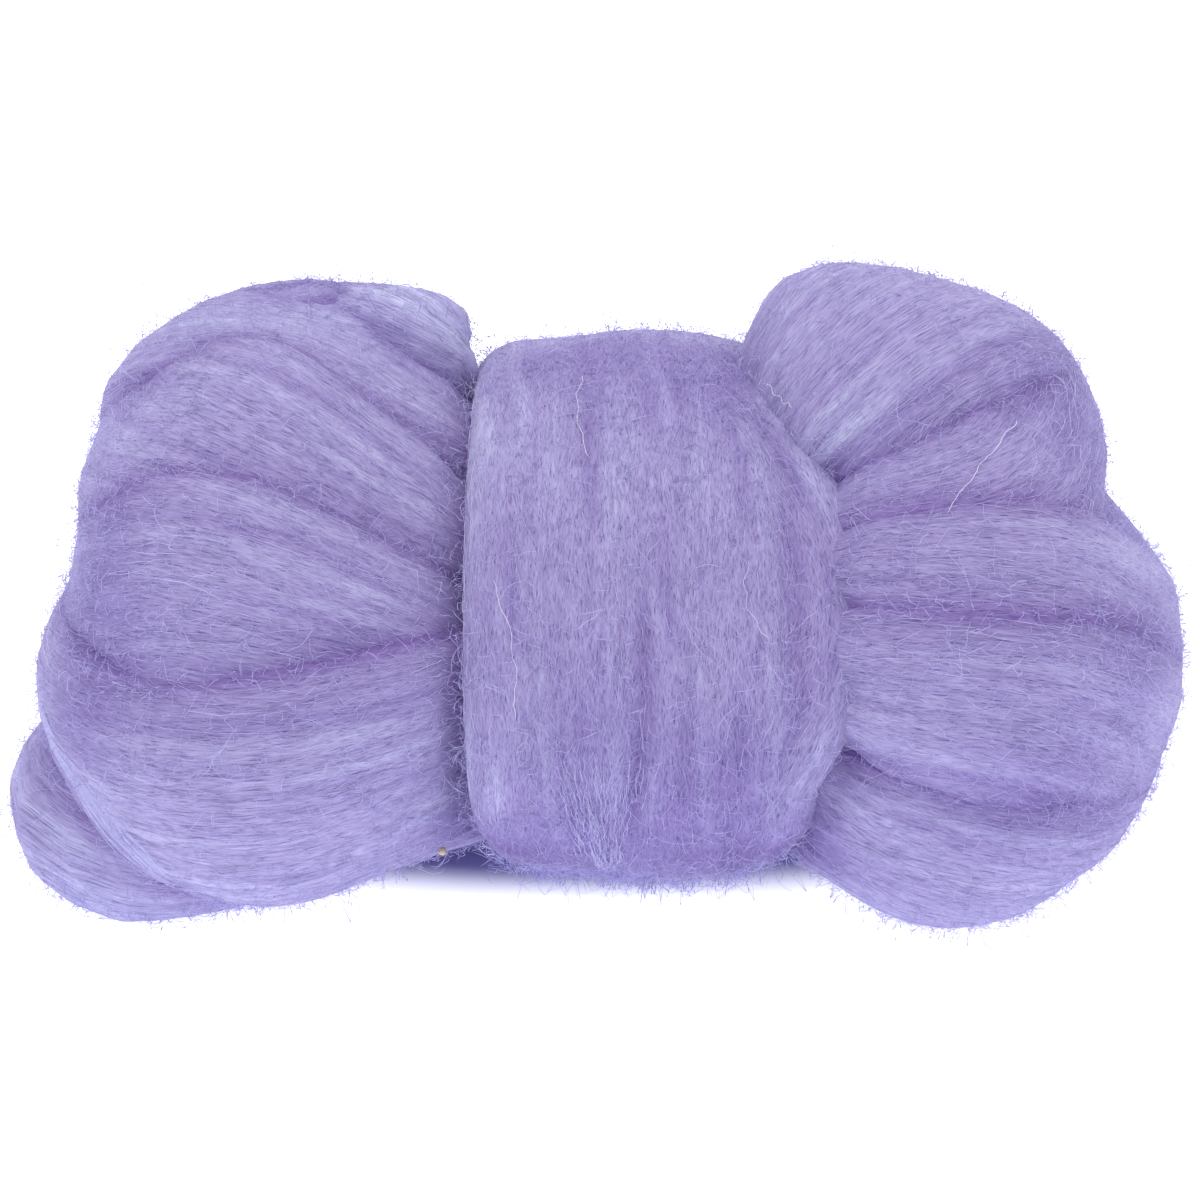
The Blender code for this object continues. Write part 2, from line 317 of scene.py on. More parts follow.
def smooth_path(knots):
    """Evenly spaced rows on a centripetal curve through the knots, and its length."""
    pts = np.array(knots, float)
    gaps = np.sqrt(np.linalg.norm(np.diff(pts, axis=0)[:, :3], axis=1))
    t = np.concatenate([[0.0], np.cumsum(gaps)])
    pts = np.vstack([2 * pts[0] - pts[1], pts, 2 * pts[-1] - pts[-2]])
    t = np.concatenate([[t[0] - gaps[0]], t, [t[-1] + gaps[-1]]])
    runs = []
    for i in range(1, len(pts) - 2):
        s = np.linspace(t[i], t[i + 1], KNOT_STEPS, endpoint=(i == len(pts) - 3))[:, None]
        near = [((t[k + 1] - s) * pts[k] + (s - t[k]) * pts[k + 1]) / (t[k + 1] - t[k])
                for k in (i - 1, i, i + 1)]
        mid = [((t[k + 1] - s) * near[k - i] + (s - t[k - 1]) * near[k - i + 1])
               / (t[k + 1] - t[k - 1]) for k in (i, i + 1)]
        runs.append(((t[i + 1] - s) * mid[0] + (s - t[i]) * mid[1]) / (t[i + 1] - t[i]))
    line = np.vstack(runs)
    steps = np.linalg.norm(np.diff(line[:, :3], axis=0), axis=1)
    run = np.concatenate([[0.0], np.cumsum(steps)])
    even = np.linspace(0.0, run[-1], int(run[-1] / ROW_STEP))
    return np.stack([np.interp(even, run, line[:, k]) for k in range(line.shape[1])], 1), run[-1]


def unit(v):
    """Each vector at length 1."""
    return v / np.maximum(np.linalg.norm(v, axis=-1, keepdims=True), 1e-9)


class Strand(namedtuple("Strand", "name mid out across half_w half_d power run closed")):
    """One fold or turn: its middle line, the directions out and across, and its size."""

    def distance(self, pts):
        """Roughly how far each point lies outside the strand, less than 0 inside."""
        result = np.empty(len(pts))
        for k in range(0, len(pts), BATCH):
            p = pts[k:k + BATCH]
            gap = ((p[:, None] - self.mid[None]) ** 2).sum(2)
            i = gap.argmin(1)
            rel = p - self.mid[i]
            u = (rel * self.across[i]).sum(1)
            v = (rel * self.out[i]).sum(1)
            rho = (np.abs(u / self.half_w[i]) ** self.power
                   + np.abs(v / self.half_d[i]) ** self.power) ** (1 / self.power)
            result[k:k + BATCH] = np.hypot(u, v) * (1 - 1 / np.maximum(rho, 1e-3))
        return result


def fold_strand(f):
    """A fold's line: out from the waist, round its tip and back."""
    h = f.depth * NECK_INSET
    start, end = f.side * NECK_X[0], f.side * NECK_X[1]
    swell = (FAN[0] * f.lift, FAN[1] * f.lift)
    line, length = smooth_path([
        (*on_ring(f.leaves, start, WAIST, h + NECK_DIP), f.neck, FLATTEN),
        (*on_ring(f.leaves, end, WAIST, h), f.neck, FLATTEN),
        (*on_ring(f.near_deg, f.side * f.near_x, swell, f.depth / 2), 1.0, 1.0),
        (f.side * f.tip_x, f.tip_y, f.tip_z, 1.0, 1.0),
        (*on_ring(f.far_deg, f.side * f.far_x, FAN, f.depth / 2), 1.0, 1.0),
        (*on_ring(f.returns, end, WAIST, h), FLATTEN, FLATTEN),
        (*on_ring(f.returns, start, WAIST, h + NECK_DIP), FLATTEN, FLATTEN),
    ])
    mid = line[:, :3]
    along = unit(np.gradient(mid, axis=0))
    inner = np.zeros_like(mid)
    inner[:, 0] = np.clip(f.side * mid[:, 0], None, OUT_FROM) * f.side
    inner[:, 2] = AXIS_Z
    out = mid - inner
    out = unit(out - (out * along).sum(1)[:, None] * along)
    return Strand(f.name, mid, out, np.cross(along, out), f.width / 2 * line[:, 3],
                  f.depth / 2 * line[:, 4], FOLD_POWER, length, False)


def turn_strand(t):
    """A wound turn's line, closed on itself."""
    round_band = math.pi * (BAND[0] + BAND[1])
    a = np.linspace(0.0, 2.0 * np.pi, int(round_band / ROW_STEP), endpoint=False) - np.pi / 2
    x = ((t.x_front + t.x_top + t.x_back + t.x_bottom) / 4
         + (t.x_front - t.x_back) / 2 * np.cos(a) + (t.x_top - t.x_bottom) / 2 * np.sin(a)
         + (t.x_front - t.x_top + t.x_back - t.x_bottom) / 4 * np.cos(2 * a)
         + t.sway * np.sin(2 * a))
    h = t.depth / 2
    mid = np.stack([x, -(BAND[0] * t.lift - h) * np.cos(a),
                    AXIS_Z + (BAND[1] * t.lift - h) * np.sin(a)], 1)
    out = unit(np.stack([0 * a, -np.cos(a) / BAND[0], np.sin(a) / BAND[1]], 1))
    across = np.tile([1.0, 0.0, 0.0], (len(a), 1))
    slim = 1.0 - t.foot * np.exp(-((np.degrees(a) - FOOT_DEG) / FOOT_SPREAD) ** 2)
    return Strand(t.name, mid, out, across, t.width / 2 * slim, np.full(len(a), h),
                  TURN_POWER, round_band, True)


def core_strand(side):
    """The inner folds of one fan, along X."""
    x = CORE[-1].x * np.sin(np.linspace(0.0, np.pi / 2, CORE_ROWS))
    xs = [c.x for c in CORE]
    mid = np.stack([side * x, 0 * x, 0 * x + AXIS_Z], 1)
    out = np.tile([0.0, 0.0, 1.0], (CORE_ROWS, 1))
    across = np.tile([0.0, -float(side), 0.0], (CORE_ROWS, 1))
    return Strand("core_L" if side < 0 else "core_R", mid, out, across,
                  np.interp(x, xs, [c.depth for c in CORE]),
                  np.interp(x, xs, [c.height for c in CORE]), CORE_POWER, CORE[-1].x, False)


# Skins

def section_angles(width, depth):
    """Angles round a section, from the hidden side round: fine where the wool shows."""
    rim = math.pi * (width + depth) / 2
    first, last = OUTER_SIDE
    shown = last - first
    outer = np.radians(np.linspace(first, last, int(rim * shown / 360 / FINE_STEP)))
    inner = np.radians(np.linspace(last, first + 360,
                                   int(rim * (360 - shown) / 360 / COARSE_STEP) + 2))
    return np.concatenate([outer, inner[1:-1]])


class Skin:
    """A strand's surface as a grid of points: rows along the fibres, columns round."""

    def __init__(self, strand, seed):
        self.strand = strand
        self.angle = section_angles(2 * strand.half_w.max(), 2 * strand.half_d.max())
        a = self.angle[None]
        p = strand.power
        c = np.sign(np.cos(a)) * np.abs(np.cos(a)) ** (2 / p)
        s = np.sign(np.sin(a)) * np.abs(np.sin(a)) ** (2 / p)
        sag = CORE_SAG if strand.name.startswith("core") else 1.0
        w = strand.half_w[:, None] * c
        d = strand.half_d[:, None] * np.where(s < 0, s * sag, s)
        self.points = (strand.mid[:, None] + w[..., None] * strand.across[:, None]
                       + d[..., None] * strand.out[:, None])
        self.normal = unit((c / strand.half_w[:, None])[..., None] * strand.across[:, None]
                           + (s / strand.half_d[:, None])[..., None] * strand.out[:, None])
        rim = np.linalg.norm(np.diff(self.points, axis=1, append=self.points[:, :1]), axis=2)
        self.rim = np.concatenate([np.zeros((len(rim), 1)), np.cumsum(rim, 1)], 1)
        self.along = np.linspace(0.0, strand.run, len(strand.mid), endpoint=not strand.closed)
        self.lie = self.angle[None] + LIE_WANDER * noise(self.along[:, None] / LIE_RUN,
                                                         np.cos(a), np.sin(a), seed + 5)
        for k, ridge in enumerate(RIDGES):
            height = ridge.height * self.ridge_noise(ridge, seed + k)
            self.points += height[..., None] * self.normal
        self.crease = np.zeros(self.points.shape[:2])
        self.shows = np.ones(self.points.shape[:2], bool)

    def ridge_noise(self, ridge, seed):
        """Noise along the lie. The whole numbers added to it keep its samples apart."""
        strand, lie = self.strand, self.lie
        turns = self.rim[:, -1].max() / ridge.across / (2 * np.pi)
        if not strand.closed:
            return noise(self.along[:, None] / ridge.along, turns * np.cos(lie),
                         turns * np.sin(lie), seed)
        ring = 2 * np.pi * self.along / strand.run
        reach = strand.run / ridge.along / (2 * np.pi)
        return RING_SHARE * noise(reach * np.cos(ring)[:, None] + 31, turns * np.cos(lie) + 7,
                                  turns * np.sin(lie) + 3 * np.sin(ring)[:, None], seed) \
            + RING_SHARE * noise(reach * np.sin(ring)[:, None] + 11, turns * np.cos(lie) + 5,
                                 turns * np.sin(lie), seed + 40)

    def settle(self, mates, rivals):
        """Blend into the mates, dip under the rivals and find what shows."""
        flat = self.points.reshape(-1, 3)
        near = np.zeros(len(flat))
        least = np.full(len(flat), OUT_OF_REACH)
        for mate in mates:
            d = mate.distance(flat)
            near += np.exp(-np.maximum(d, 0.0) / CREASE_FILL)
            least = np.minimum(least, d)
        grip = np.full(len(flat), OUT_OF_REACH)
        for rival in rivals:
            grip = np.minimum(grip, rival.distance(flat))
        buried = (least < -BURIED) | (grip < -BURIED)
        move = np.minimum(CREASE_FILL * np.log1p(near), CREASE_MOST)
        if self.strand.name.startswith("core"):
            move = 0.0 * move
        if self.strand.closed:
            dip = self.grooves(flat)
            move = move - dip
            # Painted shade where the band meets the folds and in its pressed grooves
            tint = (TURN_SHADE * np.exp(-np.maximum(grip, 0.0) / TURN_SHADE_REACH)
                    + GROOVE_SHADE * dip)
        else:
            free = np.clip(grip / TUCK_REACH, 0.0, 1.0)
            free = free * free * (3.0 - 2.0 * free)
            move = (move - SKIN_DROP) * free - TUCK * (1.0 - free)
            name = self.strand.name.replace("core_", "")
            # Painted shade in the creases between folds and where the band grips them
            edge = BAND_SHADE.get(name, BAND_SHADE[name[0]])
            tint = np.maximum(np.exp(-np.maximum(least, 0.0) / SHADE_REACH),
                              edge * np.exp(-np.maximum(grip, 0.0) / BAND_SHADE_REACH))
        flat = flat + move[:, None] * self.normal.reshape(-1, 3)
        # Painted light and shade from the patches
        tone = np.zeros(len(flat))
        for patch in LIGHT_AND_SHADE_PATCHES:
            gap = np.linalg.norm(flat - (patch.x, patch.y, patch.z), axis=1)
            tone += patch.tone * np.exp(-(gap / patch.reach) ** 2)
        # Painted shadow: what is deeper than the deepest tone takes the painted shade of a
        # crease as well.
        deep = np.clip(-tone - 1.0, 0.0, 1.0)
        self.tone = np.clip(tone, -1.0, 1.0).reshape(self.crease.shape)
        flat[:, 2] = np.maximum(flat[:, 2], FLOOR_GAP)
        buried |= flat[:, 2] < FLOOR_GAP + FLOOR_TOUCH
        self.points = flat.reshape(self.points.shape)
        self.ease_pinches()
        self.crease = np.clip(np.maximum(tint, deep), 0.0, 1.0).reshape(self.crease.shape)
        self.shows = ~buried.reshape(self.shows.shape)
        self.renormal()

    def ease_pinches(self):
        """Smooth the rows where the inside of a tight bend bunches them up."""
        if self.strand.closed:
            return
        for _ in range(PINCH_PASSES):
            p = self.points
            step = np.linalg.norm(p[2:] - p[:-2], axis=2)
            w = 0.5 * np.clip((PINCH - step) / PINCH * PINCH_RATE, 0.0, 1.0)[..., None]
            self.points = p.copy()
            self.points[1:-1] = p[1:-1] * (1 - w) + w * 0.5 * (p[2:] + p[:-2])

    def grooves(self, flat):
        """Depth of the pressed grooves at each point of a turn."""
        deg = np.degrees(np.arctan2((flat[:, 2] - AXIS_Z) / BAND[1], -flat[:, 1] / BAND[0]))
        dip = np.zeros(len(flat))
        for g in GROOVES:
            ends = np.minimum(deg - g.from_deg, g.to_deg - deg)
            ends = np.clip(ends / GROOVE_FADE, 0.0, 1.0)
            x = g.x + GROOVE_SWING * np.sin(np.radians(GROOVE_WAVES * deg))
            dip += g.depth * ends * np.exp(-((flat[:, 0] - x) / g.half_width) ** 2)
        return dip

    def renormal(self):
        """Normals from the finished points."""
        p = self.points
        if self.strand.closed:
            rows = np.roll(p, -1, 0) - np.roll(p, 1, 0)
        else:
            rows = np.gradient(p, axis=0)
        cols = np.roll(p, -1, 1) - np.roll(p, 1, 1)
        n = unit(np.cross(cols, rows))
        flip = np.sign((n * self.normal).sum(2, keepdims=True))
        self.normal = n * np.where(flip == 0, 1, flip)

    def at(self, i, j):
        """Points and normals at fractional rows and columns."""
        n, m = self.points.shape[:2]
        i = np.mod(i, n) if self.strand.closed else np.clip(i, 0, n - 1.001)
        j = np.mod(j, m)
        i0, j0 = np.floor(i).astype(int), np.floor(j).astype(int)
        fi, fj = (i - i0)[..., None], (j - j0)[..., None]
        i1, j1 = (i0 + 1) % n, (j0 + 1) % m
        j0, i0 = j0 % m, i0 % n

        def mix(g):
            return ((g[i0, j0] * (1 - fj) + g[i0, j1] * fj) * (1 - fi)
                    + (g[i1, j0] * (1 - fj) + g[i1, j1] * fj) * fi)
        return mix(self.points), unit(mix(self.normal))

    def place(self, share, degrees):
        """Points and normals at shares of the run and angles round the section."""
        col = np.interp(np.radians(degrees), self.angle, np.arange(len(self.angle)))
        return self.at(np.asarray(share) * len(self.points), col)


# Meshes

def to_world(pts):
    """Millimetres round the bundle to the frame's metres."""
    pts = np.array(pts, float).reshape(-1, 3)
    pts[:, 0] -= CENTRE[0]
    pts[:, 1] -= CENTRE[1]
    return pts * MM


def mesh_object(name, verts, faces, material, smooth=True):
    """A mesh object from arrays of points and of faces with one corner count."""
    mesh = bpy.data.meshes.new(name)
    faces = np.asarray(faces, np.int32)
    mesh.vertices.add(len(verts))
    mesh.vertices.foreach_set("co", np.asarray(verts, np.float32).ravel())
    mesh.loops.add(faces.size)
    mesh.loops.foreach_set("vertex_index", faces.ravel())
    mesh.polygons.add(len(faces))
    mesh.polygons.foreach_set("loop_start", np.arange(0, faces.size, faces.shape[1],
                                                      dtype=np.int32))
    mesh.polygons.foreach_set("use_smooth", np.full(len(faces), smooth))
    mesh.update(calc_edges=True)
    mesh.materials.append(material)
    obj = bpy.data.objects.new(name, mesh)
    bpy.context.scene.collection.objects.link(obj)
    return obj


def wool_piece(obj):
    """Fix a piece to the body and let it stand for the CAD's bundle."""
    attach(obj, "root")
    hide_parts("combed_top")
    return obj


def skin_object(skin, material):
    """The skin as a closed mesh with a map in metres along and across its fibres."""
    n, m = skin.points.shape[:2]
    closed = skin.strand.closed
    rows = n if closed else n - 1
    i, j = np.meshgrid(np.arange(rows), np.arange(m), indexing="ij")
    i1, j1 = (i + 1) % n, (j + 1) % m
    corners = np.stack([i * m + j, i * m + j1, i1 * m + j1, i1 * m + j], -1).reshape(-1, 4)
    along = np.append(skin.along, skin.strand.run) * MM
    across = skin.rim[skin.rim[:, -1].argmax()] * MM
    u = np.stack([along[i], along[i], along[i + 1], along[i + 1]], -1).reshape(-1, 4)
    v = np.stack([across[j], across[j + 1], across[j + 1], across[j]], -1).reshape(-1, 4)
    halves = ([0, 1, 2], [0, 2, 3])
    faces, u, v = (np.concatenate([g[:, h] for h in halves]) for g in (corners, u, v))
    lie = np.stack([u, v], -1)
    verts = to_world(skin.points)
    if not closed:
        # Each end closes on a middle point of its own.
        verts = np.vstack([verts, to_world([skin.points[0].mean(0), skin.points[-1].mean(0)])])
        k = np.arange(m)
        first = np.stack([(k + 1) % m, k, np.full(m, n * m)], 1)
        last = np.stack([k + (n - 1) * m, (k + 1) % m + (n - 1) * m, np.full(m, n * m + 1)], 1)
        faces = np.concatenate([faces, first, last])
        lie = np.concatenate([lie, np.zeros((2 * m, 3, 2))])
    obj = mesh_object("wool_" + skin.strand.name, verts, faces, material)
    layer = obj.data.uv_layers.new(name="fibre_lie")
    layer.data.foreach_set("uv", lie.astype(np.float32).ravel())
    # Painted shade of the creases and painted light and shade of the patches, as attributes for
    # the material
    for name, grid in (("crease", skin.crease), ("tone", skin.tone)):
        values = np.zeros(len(verts), np.float32)
        values[:n * m] = grid.ravel()
        obj.data.attributes.new(name, "FLOAT", "POINT").data.foreach_set("value", values)
    return wool_piece(obj)


# Fibres

def tubes(lines, normals, radii, name, material):
    """Thin closed three-sided tubes with pointed ends, from fibre, step and point."""
    count, steps = lines.shape[:2]
    rings = steps - 2
    along = unit(np.gradient(lines, axis=1))
    side = unit(np.cross(along, normals))
    up = np.cross(side, along)
    corners = [lines + radii[..., None] * (math.cos(a) * side + math.sin(a) * up)
               for a in np.radians([90.0, 210.0, 330.0])]
    body = np.stack(corners, 2)[:, 1:-1].reshape(count, rings * 3, 3)
    pts = np.concatenate([body, lines[:, :1], lines[:, -1:]], 1)
    k = np.arange(3)
    k1 = (k + 1) % 3
    s = (np.arange(rings - 1) * 3)[:, None]
    one = np.concatenate([
        np.stack([s + k1, s + k, s + 3 + k1], -1).reshape(-1, 3),
        np.stack([s + 3 + k1, s + k, s + 3 + k], -1).reshape(-1, 3),
        np.stack([k, k1, np.full(3, rings * 3)], 1),
        np.stack([k1 + rings * 3 - 3, k + rings * 3 - 3, np.full(3, rings * 3 + 1)], 1)])
    faces = (one[None] + (np.arange(count) * (rings * 3 + 2))[:, None, None]).reshape(-1, 3)
    return wool_piece(mesh_object(name, to_world(pts), faces, material, False))


def spread_radii(radius, least, most, count, steps):
    """One random radius for each fibre, the same at each of its steps."""
    return radius * RNG.uniform(least, most, (count, 1)) * np.ones((1, steps))


def pick_cells(skins, count, seed, bunch, body=1.0, foot=0.0):
    """Random showing cells over all skins, by area and by how the fibres bunch."""
    weights, owners, rows, cols = [], [], [], []
    for k, skin in enumerate(skins):
        p = skin.points
        du = np.linalg.norm(np.roll(p, -1, 0) - p, axis=2)
        dv = np.linalg.norm(np.roll(p, -1, 1) - p, axis=2)
        area = du * dv * skin.shows
        if not skin.strand.closed:
            area[-1] = 0
        dense = noise(skin.along[:, None] / BUNCH_RUN + 3 * k,
                      BUNCH_TURNS * np.cos(skin.lie) + seed,
                      BUNCH_TURNS * np.sin(skin.lie), BUNCH_SEED + seed)
        low = np.clip((FOOT_TOP - p[..., 2]) / FOOT_FADE, 0.0, 1.0) * skin.strand.closed
        area *= np.clip(1.0 + bunch * dense, 0.1, None) * (body + foot * low)
        i, j = np.nonzero(area)
        weights.append(area[i, j])
        owners.append(np.full(len(i), k))
        rows.append(i)
        cols.append(j)
    weights = np.concatenate(weights)
    chosen = RNG.choice(len(weights), count, p=weights / weights.sum())
    return (np.concatenate(owners)[chosen], np.concatenate(rows)[chosen] + RNG.random(count),
            np.concatenate(cols)[chosen] + RNG.random(count))


def coat_object(skins, coat, seed, material):
    """Fibres that lie along the skins, crimped and a little proud."""
    owner, row, col = pick_cells(skins, coat.count, seed, COAT_BUNCH)
    t = np.linspace(0.0, 1.0, COAT_STEPS)[None]
    lines = np.zeros((coat.count, COAT_STEPS, 3))
    normals = np.zeros_like(lines)
    length = coat.length * RNG.uniform(*COAT_LENGTHS, coat.count)
    for k, skin in enumerate(skins):
        mine = np.nonzero(owner == k)[0]
        if not len(mine):
            continue
        c = len(mine)
        reach = (length[mine] / ROW_STEP)[:, None]
        slant = RNG.normal(0.0, COAT_SLANT, (c, 1)) * length[mine][:, None]
        bow = RNG.normal(0.0, COAT_BOW, (c, 1)) * length[mine][:, None]
        across = slant * (t - 0.5) + bow * np.sin(np.pi * t) \
            + RNG.normal(0.0, coat.crimp, (c, COAT_STEPS))
        p, n = skin.at(row[mine][:, None] + reach * (t - 0.5), col[mine][:, None] + across)
        rise = RNG.uniform(0.05, 1.0, (c, 1)) ** 1.5 * coat.rise
        lift = rise * np.sin(np.pi * t) ** 0.8 + RNG.normal(0.0, COAT_WAVER, (c, COAT_STEPS))
        lines[mine] = p + lift[..., None] * n
        normals[mine] = n
    lines[..., 2] = np.maximum(lines[..., 2], FLOOR_GAP)
    radii = spread_radii(coat.radius, 0.7, 1.3, coat.count, COAT_STEPS)
    return tubes(lines, normals, radii, coat.name, material)


def loose_object(loose, skins, seed, material):
    """Crimped hairs that leave the surface and mostly come back."""
    count = loose.count
    owner, row, col = pick_cells(skins, count, seed, LOOSE_BUNCH, loose.body, loose.foot)
    t = np.linspace(0.0, 1.0, loose.steps)[None, :, None]
    start = np.zeros((count, 3))
    normal = np.zeros((count, 3))
    along = np.zeros((count, 3))
    for k, skin in enumerate(skins):
        mine = np.nonzero(owner == k)[0]
        if not len(mine):
            continue
        p, n = skin.at(row[mine], col[mine])
        q, _ = skin.at(row[mine] + 0.5, col[mine])
        start[mine], normal[mine], along[mine] = p, n, unit(q - p)
    side = np.cross(along, normal)
    turn = RNG.normal(0.0, LOOSE_TURN, (count, 1))
    heading = (along * np.cos(turn) + side * np.sin(turn)) * RNG.choice([-1, 1], (count, 1))
    length = RNG.gamma(LENGTH_SHAPE, loose.length / LENGTH_SHAPE, (count, 1)) + LENGTH_LEAST
    height = RNG.gamma(HEIGHT_SHAPE, loose.height / HEIGHT_SHAPE, (count, 1)) + HEIGHT_LEAST
    sweep = RNG.normal(0.0, LOOSE_SWEEP, (count, 1)) * length
    swing = np.cross(heading, normal)
    arc = np.sin(np.pi * np.clip(t * RNG.uniform(0.5, 1.0, (count, 1, 1)), 0, 1))
    kink = RNG.normal(0.0, loose.kink, (count, loose.steps, 2))
    rise = height[:, None] * arc - ROOT_DEPTH + 0.5 * kink[..., 1:] * t
    lines = (start[:, None] + (length[:, None] * t) * heading[:, None]
             + (sweep[:, None] * t * t + kink[..., :1]) * swing[:, None]
             + rise * normal[:, None])
    lines[..., 2] = np.maximum(lines[..., 2], FLOOR_GAP)
    radii = spread_radii(loose.radius, 0.7, 1.25, count, loose.steps)
    normals = np.repeat(normal[:, None], loose.steps, 1)
    return tubes(lines, normals, radii, loose.name, material)


def strand_path(skin, row, steps):
    """A bowed path over a skin between two named places, its normals and its sides."""
    t = np.linspace(0.0, 1.0, steps)
    share = row.from_share + (row.to_share - row.from_share) * t
    deg = row.from_deg + (row.to_deg - row.from_deg) * t
    p, n = skin.place(share, deg)
    side = np.cross(unit(np.gradient(p, axis=0)), n)
    return p + (row.bow * np.sin(np.pi * t))[:, None] * side, n, side


def lock_object(skin, lock, material):
    """A bunch of fibres that follows one path, spread across it."""
    line, normal, side = strand_path(skin, lock, LOCK_PATH_STEPS)
    run = np.concatenate([[0.0], np.cumsum(np.linalg.norm(np.diff(line, axis=0), axis=1))])
    share = np.linspace(0.0, 1.0, COAT_STEPS)[None]
    length = lock.length * RNG.uniform(*LOCK_LENGTHS, (lock.count, 1))
    first = RNG.random((lock.count, 1)) * np.maximum(run[-1] - length, 0.0)
    at = np.clip((first + length * share) / run[-1], 0.0, 1.0)
    place = at * (len(line) - 1)
    i = np.minimum(place.astype(int), len(line) - 2)
    f = (place - i)[..., None]

    def mix(g):
        return g[i] * (1 - f) + g[i + 1] * f
    spread = RNG.normal(0.0, LOCK_SPREAD, (lock.count, 1)) \
        * (lock.wide_from + (lock.wide_to - lock.wide_from) * at)
    off = spread + RNG.normal(0.0, LOCK_CRIMP, at.shape)
    height = RNG.uniform(0.1, 1.0, (lock.count, 1)) * (LOCK_RISE + lock.lift * at)
    n = unit(mix(normal))
    lines = mix(line) + off[..., None] * mix(side) + height[..., None] * n
    lines[..., 2] = np.maximum(lines[..., 2], FLOOR_GAP)
    radii = spread_radii(LOCK_RADIUS, 0.7, 1.3, lock.count, COAT_STEPS)
    return tubes(lines, n, radii, lock.name, material)


def kemp_object(skins, material):
    """Single coarse pale hairs."""
    t = np.linspace(0.0, 1.0, KEMP_STEPS)
    lines, normals, radii = [], [], []
    for k in KEMPS:
        p, n, side = strand_path(skins[k.strand], k, KEMP_STEPS)
        wave = KEMP_WAVE * np.sin(2 * np.pi * KEMP_WAVES * t + k.bow) \
            + RNG.normal(0.0, KEMP_CRIMP, KEMP_STEPS)
        rise = KEMP_RISE + KEMP_HOP * np.sin(KEMP_HOPS * t)
        lines.append(p + wave[:, None] * side + rise[:, None] * n)
        normals.append(n)
        radii.append(np.full(KEMP_STEPS, k.radius))
    return tubes(np.array(lines), np.array(normals), np.array(radii), "kemps", material)


def seed_object(skin, material):
    """A crumpled fleck of husk: a ball of rings, dented by noise."""
    spot, normal = skin.place(np.array([SEED_PLACE[1]]), np.array([SEED_PLACE[2]]))
    down, turn = np.meshgrid(np.radians([20, 50, 80, 110, 140, 165]),
                             np.radians(np.arange(0, 360, 30)), indexing="ij")
    ball = np.stack([np.sin(down) * np.cos(turn), np.sin(down) * np.sin(turn),
                     np.cos(down)], -1)
    pts = np.concatenate([ball.reshape(-1, 3), [[0, 0, 1.0], [0, 0, -1.0]]])
    rings, n = down.shape
    faces = []
    for c in range(n):
        d = (c + 1) % n
        faces.append((c, d, rings * n))
        for r in range(0, (rings - 1) * n, n):
            faces += [(r + c, r + n + c, r + n + d), (r + c, r + n + d, r + d)]
    faces += [((rings - 1) * n + (c + 1) % n, (rings - 1) * n + c, rings * n + 1)
              for c in range(n)]
    pts *= (1.0 + SEED_DENT * noise(*(pts.T * SEED_GRAIN), 77))[:, None]
    pts = spot + SEED_RISE * normal + pts * SEED_SIZE * np.array(SEED_SHAPE)
    return wool_piece(mesh_object("seed", to_world(pts), faces, material))


# Materials

# Streaks in the wool: cell size in metres along and across the fibres, the slice of noise,
# its detail and how far it leans across. Threads have a width as well.
Streak = namedtuple("Streak", "along across slice detail lean")
CLUMP = Streak(0.060, 0.0080, 3.0, 2.0, 0.0)
BUNCH = Streak(0.020, 0.0015, 11.0, 2.0, 0.0)
FLECKS = (Streak(0.0028, 0.00031, 23.0, 1.5, 0.14), Streak(0.0024, 0.00028, 41.0, 1.5, -0.14))
THREADS = (
    (Streak(0.0085, 0.00085, 57.0, 1.0, 0.10), 0.055),
    (Streak(0.0080, 0.00080, 71.0, 1.0, -0.16), 0.055),
    (Streak(0.0050, 0.0012, 83.0, 1.0, 0.38), 0.030),
)
STREAK_BEND = 0.5
THREAD_BEND = 0.25
THREAD_SHARE = 0.42
CLUMP_TONES = [(0.28, (0.214, 0.168, 0.372)), (0.50, (0.268, 0.226, 0.432)),
               (0.74, (0.332, 0.306, 0.508))]
# The rest are shares that multiply the clumps' colour.
BUNCH_TONES = [(0.30, (0.86, 0.81, 0.90)), (0.52, (1.0, 1.0, 1.0)), (0.75, (1.05, 1.06, 1.04))]
FLECK_TONES = [(0.35, (0.40, 0.32, 0.55)), (0.46, (0.92, 0.91, 0.94)),
               (0.60, (1.22, 1.23, 1.16))]
# Painted light and shade of the patches, darkest to palest
LIGHT_AND_SHADE_TONES = [(0.0, (0.70, 0.62, 0.80)), (0.5, (1.0, 1.0, 1.0)), (1.0, (1.20, 1.32, 1.18))]
THREAD_TONE = (1.62, 1.70, 1.46)
# Painted shade in the creases, and where it starts
CREASE_SHADE = (0.58, 0.43, 0.68)
CREASE_SHADE_START = 0.08
WOOL_ROUGH = (0.82, 0.98)
BUMP_STRENGTH = 0.5
BUMP_HEIGHT = 0.0005


def principled(name, colour, rough, sheen=0.0):
    """A material with one shader, and that shader."""
    mat = bpy.data.materials.new(name)
    mat.use_nodes = True
    shader = mat.node_tree.nodes["Principled BSDF"]
    shader.inputs["Base Color"].default_value = (*colour, 1.0)
    shader.inputs["Roughness"].default_value = rough
    shader.inputs["Specular IOR Level"].default_value = 0.25
    shader.inputs["Sheen Weight"].default_value = sheen
    shader.inputs["Sheen Roughness"].default_value = 0.5
    shader.inputs["Sheen Tint"].default_value = (0.80, 0.82, 1.0, 1.0)
    return mat, shader


def hair_material(name, colour, rough=0.9):
    """One plain colour, for thin pieces."""
    return principled(name, colour, rough)[0]


